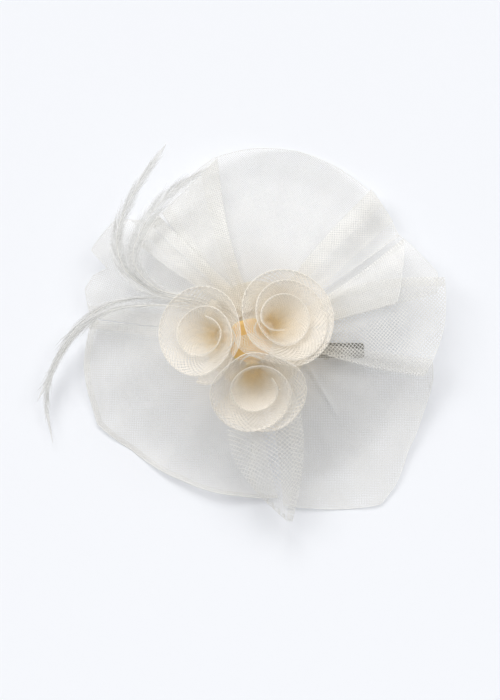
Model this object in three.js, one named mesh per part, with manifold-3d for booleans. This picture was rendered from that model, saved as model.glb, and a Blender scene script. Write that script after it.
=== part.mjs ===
// Bridal fascinator headpiece: pleated crinoline net and three rolled net roses on a felt disc,
// with a leaf, five feathers and a sprung hair clip. Units are millimetres.
// The origin is the centre of the felt's underside. +Z points away from the wearer's head, +X runs
// along the clip towards its finger lever, and +Y points away from the leaf.
// The piece is drawn as it lies on a table, resting on the clip's lever and on the hem of the net.
import * as THREE from 'three';
import { mergeVertices } from 'three/addons/utils/BufferGeometryUtils.js';
import Module from 'manifold-3d';

const wasm = await Module();
wasm.setup();

// ---------- driving dimensions ----------
const GAP = 0.3; // left between pieces that touch
const FELT_R = 26; // stiffened felt disc under the roses
const FELT_T = 2;
const BACKING_R = 24; // thinner disc that covers the stitches
const BACKING_T = 1.2;
const TABLE_Z = -10; // the surface that the headpiece lies on

const NET_T = 0.7; // thickness given to a net sheet
const NET_Z = 4.3; // height of the lowest net where it is gathered
const GATHER_R = 12; // the nets are gathered on this radius
const DROOP_R = 78; // the nets have sunk to their hem height here
const NET_SWELL = 7.5; // how far the nets rise before they droop
const LAYER_STEP = 1; // height between two net layers at the centre
const LAYER_SPREAD = 0.05; // how much that height grows for each millimetre outwards

const CLUSTER_X = -5; // middle of the three roses
const CLUSTER_Y = -3;
const ROSE_Z = 10.6; // foot of the roses
const ROSE_H = 30; // from foot to rim, along the rose's axis
const ROSE_T = 0.6;
const ROSE_FOOT_R = 4.6;
const ROSE_LEAN = 0.55; // share of a rose's distance from the middle that comes from its lean
const ROSE_GAP = 1.4; // left between two roses where they press on each other
const PRESS = 12; // the higher, the sharper the corners of the pressed faces

const CLIP_Y = -7.4;
const CLIP_TIP_X = -7;
const CLIP_END_X = 51;
const CLIP_W = 7.2;
const PLATE_T = 0.8; // spring steel sheet
const EAR_T = 0.6;
const HINGE_X = 33;
const HINGE_Z = -3.6;
const PIN_R = 0.75;
const BORE_R = 0.85;
const JAW_Z = -2.4; // upper face of the lower jaw, below the plate
const LEVER_X = 36;
const LEVER_Z = -7; // upper face of the lever where it starts
const TOOTH_COUNT = 6;
const COIL_R = 1.9; // mean radius of the torsion spring
const WIRE_R = 0.35;
const COIL_TURNS = 3;
const SPRING_LEG = 9;

// Hem heights above the table: [bearing in degrees, lift]. The hem rests where the lift is 0.
const RIM_LIFT = [
  [15, 12], [45, 4], [75, 0], [110, 5], [150, 9], [190, 4], [222, 0], [255, 5], [297, 0], [330, 4],
  [353, 14],
];

// Each net is spread between its gathers and its hem. gather is the bearing at which its first and
// last ruling start, hem its outer edge as [bearing, radius], bow how far its two side edges swing.
const NETS = [
  { name: 'net_top', layer: 0, gather: [25, 127], bow: [0, 0],
    hem: [[40, 85], [51, 87.5], [64, 89.5], [77, 91], [92, 90], [104, 88], [115, 82], [126, 72],
      [134, 70]] },
  { name: 'net_left_wing', layer: 0, gather: [130, 183], bow: [0, 0],
    hem: [[136, 76], [141, 88], [153, 90], [156, 79], [160, 84], [165, 86], [174, 81]] },
  { name: 'net_lower_left', layer: 0, gather: [186, 266], bow: [0, -2],
    hem: [[175, 80], [190, 85], [204, 87], [209, 88.5], [222, 82.5], [242, 79], [264, 78], [277, 79]] },
  { name: 'net_lower_right', layer: 0, gather: [270, 352], bow: [2, 0],
    hem: [[278.5, 83], [288, 88], [298, 95], [306, 101], [313, 98], [322, 91.5], [334, 88],
      [346, 86.5], [352, 84]] },
  { name: 'net_right_under', layer: 0, gather: [2, 22], bow: [0, 0],
    hem: [[13, 88], [19, 91], [26, 87], [36, 83]] },
  { name: 'net_right_wing', layer: 1, gather: [-12, 28], bow: [-2, 7.5],
    hem: [[-12.5, 82], [-6, 85], [2, 88.5], [17, 93]] },
  { name: 'net_upper_left', layer: 1, gather: [102, 142], bow: [3, 0],
    hem: [[103, 87], [109, 82], [118, 77], [128, 74]] },
  { name: 'net_upper_right', layer: 1, gather: [30, 66], bow: [0, 2],
    hem: [[35, 82.5], [43, 85], [52, 88.5]] },
  { name: 'net_right_pleat', layer: 2, gather: [2, 28], bow: [0, -2],
    hem: [[13, 67.5], [24, 75], [33, 83]] },
  { name: 'net_left_petal', layer: 2, gather: [100, 120], bow: [0, 2],
    hem: [[130, 73], [136, 75], [143, 70]] },
];

// Rose rims seen from above: middle and radius, with the strip's number of turns.
const ROSES = [
  { name: 'rose_left', x: -28.6, y: 0.6, rim: 22.8, turns: 2.5, start: 260 },
  { name: 'rose_right', x: 14.2, y: 8.4, rim: 24.2, turns: 2.75, start: 240 },
  { name: 'rose_front', x: -0.9, y: -27.6, rim: 23.6, turns: 2.5, start: 120 },
];

// Feather quills, from the binding at the felt to the tip, and the vane's widest half width.
const QUILLS_FROM = [-19, 10, 10.5];
const FEATHERS = [
  { name: 'feather_curved', vane: 4,
    route: [[-48, 22, 15], [-59, 35, 18], [-55, 50, 19], [-42, 67, 18], [-22, 80, 18]] },
  { name: 'feather_tall', vane: 4,
    route: [[-49, 20, 14.5], [-63, 31, 14.5], [-67, 46, 15], [-60, 65, 18], [-43.5, 90, 20]] },
  { name: 'feather_short', vane: 1.8,
    route: [[-45, 19.5, 11.5], [-61, 29, 9], [-67, 40, 8], [-64, 57, 9]] },
  { name: 'feather_left_long', vane: 2.6,
    route: [[-46, 17.5, 13.5], [-71, 14.5, 11], [-86, 4, 5], [-97, -12, -1], [-102, -31, -4],
      [-99, -52, -6]] },
  { name: 'feather_left_short', vane: 2,
    route: [[-45, 14, 14], [-70, 11.5, 14.5], [-84, 3, 9], [-95, -11, 5], [-106, -32, 0]] },
];

// ---------- small helpers ----------
const radians = THREE.MathUtils.degToRad;
const degrees = THREE.MathUtils.radToDeg;
const clamp = (value) => Math.min(Math.max(value, 0), 1);
const smooth = (value) => clamp(value) ** 2 * (3 - 2 * clamp(value));
const mix = (a, b, share) => a + (b - a) * share;

// Reads a list of [place, value] pairs at a place, with straight lines between them.
function along(pairs, place) {
  const last = pairs.length - 1;
  const after = pairs.findIndex(([at]) => at >= place);
  if (after === 0) return pairs[0][1];
  if (after < 0) return pairs[last][1];
  const [from, low] = pairs[after - 1];
  const [to, high] = pairs[after];
  return mix(low, high, (place - from) / (to - from));
}

// The hem's height above the table at a bearing, eased between the listed ones.
function rimLift(bearing) {
  const turned = ((bearing % 360) + 360) % 360;
  const around = [...RIM_LIFT, [RIM_LIFT[0][0] + 360, RIM_LIFT[0][1]]];
  const place = turned < RIM_LIFT[0][0] ? turned + 360 : turned;
  const after = around.findIndex(([at]) => at > place);
  const [from, low] = around[after - 1];
  const [to, high] = around[after];
  return mix(low, high, smooth((place - from) / (to - from)));
}

// Middle height of a net of the given layer. Layers share one shape, so they never cross.
function netHeight(x, y, layer) {
  const reach = Math.hypot(x, y);
  const bearing = THREE.MathUtils.radToDeg(Math.atan2(y, x));
  const rim = TABLE_Z + NET_T / 2 + rimLift(bearing);
  const drop = smooth((reach - FELT_R) / (DROOP_R - FELT_R));
  const swell = Math.sin(Math.PI * clamp((reach - GATHER_R) / (DROOP_R - GATHER_R))) ** 2;
  const spacing = LAYER_STEP + LAYER_SPREAD * reach;
  return NET_Z + NET_SWELL * swell + (rim - NET_Z) * drop + layer * spacing;
}

// A closed body between two grids of points, front(u, v) and back(u, v), each u and v from 0 to 1.
function sheet(columns, rows, front, back) {
  const points = [];
  const faces = [];
  const stride = rows + 1;
  const side = (columns + 1) * stride;
  for (const place of [front, back]) {
    for (let i = 0; i <= columns; i++) {
      for (let j = 0; j <= rows; j++) points.push(...place(i / columns, j / rows));
    }
  }
  const quad = (a, b, c, d) => faces.push(a, b, c, a, c, d);
  for (let i = 0; i < columns; i++) {
    for (let j = 0; j < rows; j++) {
      const a = i * stride + j;
      quad(a, a + stride, a + stride + 1, a + 1);
      quad(side + a, side + a + 1, side + a + stride + 1, side + a + stride);
    }
  }
  for (let i = 0; i < columns; i++) {
    const low = i * stride;
    const high = low + rows;
    quad(low, side + low, side + low + stride, low + stride);
    quad(high, high + stride, side + high + stride, side + high);
  }
  for (let j = 0; j < rows; j++) {
    const last = columns * stride + j;
    quad(j, j + 1, side + j + 1, side + j);
    quad(last, side + last, side + last + 1, last + 1);
  }
  return facingOut(points, faces);
}

// A body swept along a curve from rings of points. ring(t) gives the ring's points at t from 0 to 1.
function sweep(steps, ring) {
  const points = [];
  const faces = [];
  const count = ring(0).length;
  for (let i = 0; i <= steps; i++) {
    for (const point of ring(i / steps)) points.push(...point);
  }
  for (let i = 0; i < steps; i++) {
    for (let j = 0; j < count; j++) {
      const a = i * count + j;
      const b = i * count + ((j + 1) % count);
      faces.push(a, b, b + count, a, b + count, a + count);
    }
  }
  const end = steps * count;
  for (let j = 1; j < count - 1; j++) {
    faces.push(0, j + 1, j);
    faces.push(end, end + j, end + j + 1);
  }
  return facingOut(points, faces);
}

// A geometry from points and triangles, turned inside out if its faces point inwards.
function facingOut(points, faces) {
  const corner = (index) => new THREE.Vector3().fromArray(points, faces[index] * 3);
  let volume = 0;
  for (let i = 0; i < faces.length; i += 3) {
    volume += corner(i).dot(corner(i + 1).cross(corner(i + 2)));
  }
  const geometry = new THREE.BufferGeometry();
  geometry.setAttribute('position', new THREE.Float32BufferAttribute(points, 3));
  geometry.setIndex(volume > 0 ? faces : faces.toReversed());
  return geometry;
}

// ---------- boolean work ----------
function toManifold(geometry) {
  const bare = geometry.clone();
  bare.deleteAttribute('normal');
  bare.deleteAttribute('uv');
  const merged = mergeVertices(bare, 1e-4);
  const triVerts = Uint32Array.from(merged.index.array);
  const vertProperties = Float32Array.from(merged.attributes.position.array);
  return new wasm.Manifold(new wasm.Mesh({ numProp: 3, vertProperties, triVerts }));
}

function toGeometry(manifold) {
  const { vertProperties, triVerts } = manifold.getMesh();
  const geometry = new THREE.BufferGeometry();
  geometry.setAttribute('position', new THREE.BufferAttribute(vertProperties, 3));
  geometry.setIndex(new THREE.BufferAttribute(triVerts, 1));
  return geometry;
}

function joined(added, cut = []) {
  let body = toManifold(added[0]);
  for (const geometry of added.slice(1)) body = body.add(toManifold(geometry));
  for (const geometry of cut) body = body.subtract(toManifold(geometry));
  return toGeometry(body);
}

// ---------- materials ----------
const look = (color, roughness, metalness) =>
  () => new THREE.MeshStandardMaterial({ color, roughness, metalness, side: THREE.DoubleSide });
const ivoryNet = look(0xf1eee6, 0.5, 0);
const roseNet = look(0xf0e4d0, 0.5, 0);
const felt = look(0xece6d8, 0.95, 0);
const steel = look(0x6f6c62, 0.4, 1);
const springSteel = look(0x8f8e88, 0.3, 1);
const thread = look(0xefe8da, 0.7, 0);
const glue = look(0xcbb487, 0.4, 0);
const feather = look(0xe9e9e4, 0.6, 0);

const fascinator = new THREE.Group();

function add(name, geometry, material, parent = fascinator) {
  const mesh = new THREE.Mesh(geometry, material());
  mesh.name = name;
  parent.add(mesh);
  return mesh;
}

// A disc or ring of revolution about +Z, from a closed or axis-to-axis profile of [radius, height].
function turned(profile, segments) {
  const lathe = new THREE.LatheGeometry(profile.map(([r, h]) => new THREE.Vector2(r, h)), segments);
  return lathe.rotateX(Math.PI / 2);
}

// ---------- felt ----------
function disc(radius, low, thickness) {
  return turned([[0, low], [radius, low], [radius, low + thickness], [0, low + thickness]], 32);
}

function addFelt() {
  add('felt_backing', disc(BACKING_R, 0, BACKING_T), felt);
  add('felt_base', disc(FELT_R, BACKING_T + GAP, FELT_T), felt);
}

// ---------- nets ----------
// A point on a net: u runs along its hem and v from its gathers to its hem.
function netPoint(net, u, v) {
  const [first] = net.hem[0];
  const [last] = net.hem[net.hem.length - 1];
  const bearing = mix(first, last, u);
  const reach = along(net.hem, bearing);
  const inner = radians(mix(net.gather[0], net.gather[1], u));
  const outer = radians(bearing);
  const swing = mix(net.bow[0], net.bow[1], u) * Math.sin(Math.PI * v);
  const x = mix(GATHER_R * Math.cos(inner), reach * Math.cos(outer), v) - swing * Math.sin(outer);
  const y = mix(GATHER_R * Math.sin(inner), reach * Math.sin(outer), v) + swing * Math.cos(outer);
  return [x, y, netHeight(x, y, net.layer)];
}

function addNet(net) {
  const span = net.hem[net.hem.length - 1][0] - net.hem[0][0];
  const columns = Math.max(5, Math.round(span / 5));
  const face = (offset) => (u, v) => {
    const [x, y, z] = netPoint(net, u, v);
    return [x, y, z + offset];
  };
  add(net.name, sheet(columns, 6, face(NET_T / 2), face(-NET_T / 2)), ivoryNet);
}

// The thread that draws the nets together, sewn up and down in a ring inside their gathers.
function addGatherThread() {
  const ring = GATHER_R - 1;
  const steps = 48;
  const body = turned([[ring - 0.3, NET_Z], [ring, NET_Z - 0.3], [ring + 0.3, NET_Z],
    [ring, NET_Z + 0.3], [ring - 0.3, NET_Z]], steps);
  add('gather_thread', body, thread);
}

// Hot-melt glue: a stem through the gathers to the felt, and a cap that the roses stand on.
function addGluePad() {
  const foot = BACKING_T + FELT_T + 2 * GAP;
  const top = ROSE_Z - GAP;
  const body = turned([[0, foot], [4.2, foot], [4.2, top - 1.2], [13, top - 1.1], [14, top - 0.6],
    [13, top], [0, top]], 24);
  add('glue_pad', body, glue).position.set(CLUSTER_X + 1, CLUSTER_Y, 0);
}

// ---------- roses ----------
// The rolled strip's rim radius, as a share of the rose's rim: a small inner roll, then wide ones.
function rollShare(s) {
  const inner = 0.44 + 0.07 * smooth(s / 0.34);
  return inner + 0.36 * smooth((s - 0.32) / 0.26) + 0.13 * smooth((s - 0.56) / 0.4);
}

const leanBearing = (rose) => degrees(Math.atan2(rose.y - CLUSTER_Y, rose.x - CLUSTER_X));

// Holds a rim's share of the radius back from the two neighbouring roses, which press it flat.
function pressed(rose, share, bearing) {
  let held = Math.exp(-PRESS * share);
  for (const other of ROSES.filter((one) => one !== rose)) {
    const dx = other.x - rose.x;
    const dy = other.y - rose.y;
    const toward = degrees(Math.atan2(dy, dx)) - leanBearing(rose);
    const turned = THREE.MathUtils.euclideanModulo(bearing - toward + 180, 360) - 180;
    const off = radians(THREE.MathUtils.clamp(turned, -80, 80));
    const limit = (Math.hypot(dx, dy) - ROSE_GAP) / 2 / rose.rim / Math.cos(off);
    held += Math.exp(-PRESS * limit);
  }
  return -Math.log(held) / PRESS;
}

// A point of the strip's wall, which flares like a trumpet from its foot to its rim.
function rosePoint(rose, s, t, outward) {
  const bearing = rose.start - 360 * rose.turns * s;
  const rim = rose.rim * pressed(rose, rollShare(s), bearing);
  const foot = mix(1.6, ROSE_FOOT_R - ROSE_T / 2, s);
  const radius = mix(foot, rim, t ** mix(1.5, 2, smooth(1.6 * s))) + outward;
  const height = ROSE_H * t * mix(0.93, 1, smooth((s - 0.3) / 0.3));
  return [radius * Math.cos(radians(bearing)), radius * Math.sin(radians(bearing)), height];
}

function addRose(rose) {
  const dx = rose.x - CLUSTER_X;
  const dy = rose.y - CLUSTER_Y;
  const apart = Math.hypot(dx, dy);
  const holder = new THREE.Group();
  holder.position.set(rose.x - ROSE_LEAN * dx, rose.y - ROSE_LEAN * dy, ROSE_Z + 1.5);
  holder.rotation.set(0, Math.asin((ROSE_LEAN * apart) / ROSE_H), radians(leanBearing(rose)), 'ZYX');
  fascinator.add(holder);
  const columns = Math.round(20 * rose.turns);
  const face = (outward) => (s, t) => rosePoint(rose, s, t, outward);
  add(rose.name, sheet(columns, 6, face(ROSE_T / 2), face(-ROSE_T / 2)), roseNet, holder);
  const band = turned([[ROSE_FOOT_R + 0.5, 0.4], [ROSE_FOOT_R + 1.2, 0.4], [ROSE_FOOT_R + 1.5, 1.6],
    [ROSE_FOOT_R + 0.8, 1.6], [ROSE_FOOT_R + 0.5, 0.4]], 24);
  add(`${rose.name}_binding`, band, thread, holder);
}

// ---------- leaf ----------
// A strip of net folded to a point, arched across its width. u runs across and v along.
function addLeaf() {
  const from = new THREE.Vector2(1, -27);
  const tip = new THREE.Vector2(15, -89);
  const run = tip.clone().sub(from);
  const across = new THREE.Vector2(run.y, -run.x).normalize();
  const half = (v) => 17.8 * Math.sin(Math.PI * mix(0.3, 0.985, v));
  const face = (offset) => (u, v) => {
    const sideways = (2 * u - 1) * half(v) + 2.4 * Math.sin(Math.PI * v);
    const x = from.x + run.x * v + across.x * sideways;
    const y = from.y + run.y * v + across.y * sideways;
    const arch = 5 * Math.cos((u - 0.5) * Math.PI) * Math.sin(Math.PI * mix(0.1, 0.9, v));
    return [x, y, 12.2 - 12 * smooth((v - 0.25) / 0.75) + arch + offset];
  };
  add('crin_leaf', sheet(8, 8, face(NET_T / 2), face(-NET_T / 2)), ivoryNet);
}

// ---------- feathers ----------
// Each feather is a quill with its vane, flattened to a long lens.
function addFeather(plume, place) {
  const [x, y, z] = QUILLS_FROM;
  const lane = ((FEATHERS.length - 1) / 2 - place) * 1.6;
  const start = new THREE.Vector3(x + 0.45 * lane, y + 0.9 * lane, z);
  const second = new THREE.Vector3(x - 8 + 0.45 * lane, y + 4 + 0.9 * lane, z + 0.6);
  const rest = plume.route.map((point) => new THREE.Vector3(...point));
  const curve = new THREE.CatmullRomCurve3([start, second, ...rest], false, 'centripetal');
  const ring = (t) => {
    const centre = curve.getPointAt(t);
    const side = new THREE.Vector3(0, 0, 1).cross(curve.getTangentAt(t)).normalize();
    const half = mix(0.45, plume.vane, smooth((t - 0.25) / 0.25) * (1 - smooth((t - 0.6) / 0.4)));
    const thick = mix(0.4, 0.2, t);
    const edge = (sign) => centre.clone().addScaledVector(side, sign * half).toArray();
    const face = (sign) => [centre.x, centre.y, centre.z + sign * thick];
    return [edge(1), face(1), edge(-1), face(-1)];
  };
  add(plume.name, sweep(22, ring), feather);
}

// The thread wrap that holds the five quills side by side: an open band around them.
function addFeatherBinding() {
  const ellipse = (half, height) => {
    const shape = new THREE.Shape();
    shape.absellipse(0, 0, half, height, 0, 2 * Math.PI);
    return shape;
  };
  const shape = ellipse(5.4, 1.6);
  shape.holes.push(ellipse(4.7, 1));
  const band = new THREE.ExtrudeGeometry(shape, { depth: 3, bevelEnabled: false, curveSegments: 16 });
  band.translate(0, 0, -1.5);
  band.rotateX(Math.PI / 2);
  const mesh = add('feather_binding', band, thread);
  mesh.position.set(QUILLS_FROM[0] - 4, QUILLS_FROM[1] + 2, QUILLS_FROM[2] + 0.3);
  mesh.rotation.z = Math.atan2(0.9, 0.45);
}

// ---------- hair clip ----------
function box(lowX, highX, halfWidth, lowZ, highZ) {
  const body = new THREE.BoxGeometry(highX - lowX, 2 * halfWidth, highZ - lowZ);
  return body.translate((lowX + highX) / 2, CLIP_Y, (lowZ + highZ) / 2);
}

// A plate standing in the XZ plane, from its outline, between two distances from the clip's middle.
function upright(outline, near, far) {
  const shape = new THREE.Shape(outline.map(([x, z]) => new THREE.Vector2(x, z)));
  const plate = new THREE.ExtrudeGeometry(shape, { depth: far - near, bevelEnabled: false });
  return plate.rotateX(Math.PI / 2).translate(0, CLIP_Y + far, 0);
}

function bore(radius) {
  const hole = new THREE.CylinderGeometry(radius, radius, 2 * CLIP_W, 20);
  return hole.translate(HINGE_X, CLIP_Y, HINGE_Z);
}

// Points of an arc about the hinge, from one angle to another in degrees.
function hingeArc(radius, from, to) {
  const steps = 6;
  return Array.from({ length: steps + 1 }, (_, i) => {
    const angle = radians(mix(from, to, i / steps));
    return [HINGE_X + radius * Math.cos(angle), HINGE_Z + radius * Math.sin(angle)];
  });
}

// The flat top plate is glued to the felt. Its rear end is the upper finger grip.
function addTopPlate() {
  const high = -GAP;
  const low = high - PLATE_T;
  const half = CLIP_W / 2;
  const outline = new THREE.Shape();
  outline.moveTo(CLIP_TIP_X + 3, -half + 1.2);
  outline.lineTo(CLIP_TIP_X + 14, -half);
  outline.lineTo(CLIP_END_X - 0.8, -half);
  outline.lineTo(CLIP_END_X, -half + 0.8);
  outline.lineTo(CLIP_END_X, half - 0.8);
  outline.lineTo(CLIP_END_X - 0.8, half);
  outline.lineTo(CLIP_TIP_X + 14, half);
  outline.lineTo(CLIP_TIP_X + 3, half - 1.2);
  outline.absarc(CLIP_TIP_X + half - 1.2, 0, half - 1.2, Math.PI / 2, (3 * Math.PI) / 2, false);
  const settings = { depth: PLATE_T, bevelEnabled: false, curveSegments: 8 };
  const plate = new THREE.ExtrudeGeometry(outline, settings).translate(0, CLIP_Y, low);
  const ear = [[HINGE_X + 3.4, high - 0.1], ...hingeArc(1.8, 0, -180), [HINGE_X - 3.4, high - 0.1]];
  const ears = [upright(ear, half - EAR_T, half), upright(ear, -half, -half + EAR_T)];
  add('clip_top_plate', joined([plate, ...ears], [bore(BORE_R)]), steel);
}

// The moving piece: toothed jaw, two rails round the hinge, and the lower finger lever.
function addLowerJaw() {
  const rail = CLIP_W / 2 - EAR_T - GAP;
  const jawLow = JAW_Z - PLATE_T;
  const tip = CLIP_TIP_X + 2;
  const jawEnd = HINGE_X - 4.5;
  const jaw = box(tip, jawEnd, rail, jawLow, JAW_Z);
  const leverEnd = CLIP_END_X - 1;
  const lever = upright([[LEVER_X, LEVER_Z], [leverEnd, TABLE_Z + PLATE_T], [leverEnd, TABLE_Z],
    [LEVER_X, LEVER_Z - PLATE_T]], -CLIP_W / 2, CLIP_W / 2);
  const side = [[jawEnd - 2, JAW_Z], ...hingeArc(1.7, 130, 20), [LEVER_X + 1.2, LEVER_Z - 0.1],
    [LEVER_X + 1.2, LEVER_Z - PLATE_T + 0.05], [LEVER_X - 0.6, LEVER_Z - 0.3],
    ...hingeArc(1.7, -70, -130), [jawEnd, jawLow], [jawEnd - 2, jawLow]];
  const rails = [upright(side, rail - EAR_T, rail), upright(side, -rail, -rail + EAR_T)];
  const pitch = 2.6;
  const teeth = Array.from({ length: TOOTH_COUNT }, (_, i) => {
    const x = tip + 0.6 + pitch * i;
    const low = JAW_Z - 0.2;
    const high = JAW_Z + 0.95;
    return upright([[x, low], [x + 1.6, low], [x + 1.1, high], [x + 0.5, high]], -rail, rail);
  });
  add('clip_lower_jaw', joined([jaw, lever, ...rails, ...teeth], [bore(BORE_R)]), steel);
}

function addHingePin() {
  const inner = CLIP_W / 2 + GAP;
  const outer = inner + 0.5;
  const head = 1.3;
  const profile = [[0, -outer], [head, -outer], [head, -inner], [PIN_R, -inner], [PIN_R, inner],
    [head, inner], [head, outer], [0, outer]];
  const pin = turned(profile, 16).rotateX(Math.PI / 2);
  add('clip_hinge_pin', pin, springSteel).position.set(HINGE_X, CLIP_Y, HINGE_Z);
}

// A torsion spring round the pin. One leg lies under the plate, the other on the lever.
function springPoint(t) {
  const slope = Math.atan2(LEVER_Z - TABLE_Z - PLATE_T, CLIP_END_X - 1 - LEVER_X);
  const top = Math.PI / 2;
  const wound = 2 * Math.PI * COIL_TURNS + Math.PI - slope;
  const legShare = 0.14;
  const share = clamp((t - legShare) / (1 - 2 * legShare));
  const angle = top + wound * (1 - share);
  const sideways = mix(-1.3, 1.3, share);
  const leg = SPRING_LEG * (clamp((legShare - t) / legShare) + clamp((t - 1 + legShare) / legShare));
  const lean = t < 0.5 ? -slope : 0;
  return new THREE.Vector3(COIL_R * Math.cos(angle) + leg * Math.cos(lean), sideways,
    COIL_R * Math.sin(angle) + leg * Math.sin(lean));
}

function addSpring() {
  const steps = 60;
  const sides = 6;
  const ring = (t) => {
    const centre = springPoint(t);
    const ahead = springPoint(Math.min(t + 0.004, 1)).sub(springPoint(Math.max(t - 0.004, 0))).normalize();
    const one = new THREE.Vector3(0, 1, 0).addScaledVector(ahead, -ahead.y).normalize();
    const two = ahead.clone().cross(one);
    return Array.from({ length: sides }, (_, k) => {
      const angle = (2 * Math.PI * k) / sides;
      return centre.clone().addScaledVector(one, WIRE_R * Math.cos(angle))
        .addScaledVector(two, WIRE_R * Math.sin(angle)).toArray();
    });
  };
  add('clip_spring', sweep(steps, ring), springSteel).position.set(HINGE_X, CLIP_Y, HINGE_Z);
}

// ---------- the whole headpiece ----------
addFelt();
NETS.forEach(addNet);
addGatherThread();
addGluePad();
ROSES.forEach(addRose);
addLeaf();
FEATHERS.forEach(addFeather);
addFeatherBinding();
addTopPlate();
addLowerJaw();
addHingePin();
addSpring();

export default fascinator;
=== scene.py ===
"""Looks of the bridal fascinator: crinoline nets, rolled net roses, feathers, felt and a hair clip.

Shapes are worked out in millimetres in the CAD's frame, and turned into metres when a mesh is made.
"""

import math

import bpy
import numpy as np
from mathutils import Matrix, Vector


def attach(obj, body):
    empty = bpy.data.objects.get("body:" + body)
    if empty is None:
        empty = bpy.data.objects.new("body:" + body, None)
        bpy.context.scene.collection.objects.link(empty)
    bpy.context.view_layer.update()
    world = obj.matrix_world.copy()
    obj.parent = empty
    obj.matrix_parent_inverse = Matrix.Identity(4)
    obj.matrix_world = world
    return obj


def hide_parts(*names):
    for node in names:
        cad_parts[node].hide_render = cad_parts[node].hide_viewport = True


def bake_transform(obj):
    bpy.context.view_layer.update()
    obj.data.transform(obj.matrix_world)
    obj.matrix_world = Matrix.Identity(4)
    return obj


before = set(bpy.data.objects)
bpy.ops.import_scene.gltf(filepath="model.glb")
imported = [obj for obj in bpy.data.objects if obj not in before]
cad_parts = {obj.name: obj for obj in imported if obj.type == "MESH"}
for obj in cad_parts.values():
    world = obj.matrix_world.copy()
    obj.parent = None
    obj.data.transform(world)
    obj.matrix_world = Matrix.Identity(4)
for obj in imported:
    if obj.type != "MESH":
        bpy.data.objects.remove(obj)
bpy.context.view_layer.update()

MM = 0.001
BODY = "headpiece"

# ---------- dimensions shared with the CAD, in millimetres ----------
TABLE_Z = -10
FELT_R = 26
FELT_TOP = 3.5
BACKING_R = 24
BACKING_T = 1.2
NET_T = 0.7
NET_Z = 4.3
GATHER_R = 12
DROOP_R = 78
NET_SWELL = 7.5
LAYER_STEP = 1
LAYER_SPREAD = 0.05
CLUSTER = (-5, -3)
ROSE_Z = 10.6
ROSE_H = 30
ROSE_FOOT_R = 4.6
ROSE_LEAN = 0.55  # how far a rose's foot lies in from its rim, as a share of its way from the cluster
LEAF_START = (1.0, -27.0)
LEAF_TIP = (15.0, -89.0)
LEAF_HALF = 17.8
LEAF_TOP = 12.2
QUILLS_FROM = (-19, 10, 10.5)
QUILLS_ACROSS = (0.45, 0.9)  # way from one quill to the next where they are bound
QUILL_STEP = 1.6
HINGE = (33, -7.4, -3.6)
COIL_R = 1.9
COIL_HALF = 1.3
COIL_TURNS = 3
WIRE_R = 0.35
SPRING_LEG = 9
LEVER_SLOPE = math.atan2(2.2, 14)  # how far the lever falls over its length

# ---------- dimensions of the looks only, in millimetres ----------
# How firmly neighbouring roses flatten each other (higher is sharper), and how far their rims overlap.
PRESS = 12
PRESS_OVERLAP = 2.5
STRIP_HALF = 0.35  # half thickness of a rose's doubled strip
INNER_FOOT_R = 1.6  # radius of a rose's innermost roll at its foot
LEAF_DROP = 6
LEAF_BOW = 2.4
LEAF_ARCH = 5
EDGE_THREAD_R = 0.13
ROSE_THREAD_R = 0.1
STITCH_R = 0.14
STITCH_COUNT = 44

# Hem heights above the table: (bearing in degrees, lift).
RIM_LIFT = [
    (15, 12), (45, 4), (75, 0), (110, 5), (150, 9), (190, 4), (222, 0), (255, 5), (297, 0), (330, 4),
    (353, 14),
]

# Soft folds that radiate from the gathers through every layer: (bearing, half width, height).
RADIAL_FOLDS = [
    (26, 5, 1.2), (48, 5, 1.2), (60, 4, 0.9), (71, 5, 0.9), (83, 4, 0.8), (94, 5, 1.0), (107, 4, 0.8),
    (140, 5, 1.2), (165, 5, 1.0), (196, 7, 1.0), (214, 5, 0.6), (236, 6, 0.8), (258, 6, 0.6),
    (287, 5, 0.8), (303, 4, 0.7), (332, 6, 1.4), (350, 4, 1.0),
]

# The ends, in plan, of the pinched crease in the lower right net.
CREASE = ((25, -17), (38, -39))

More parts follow.
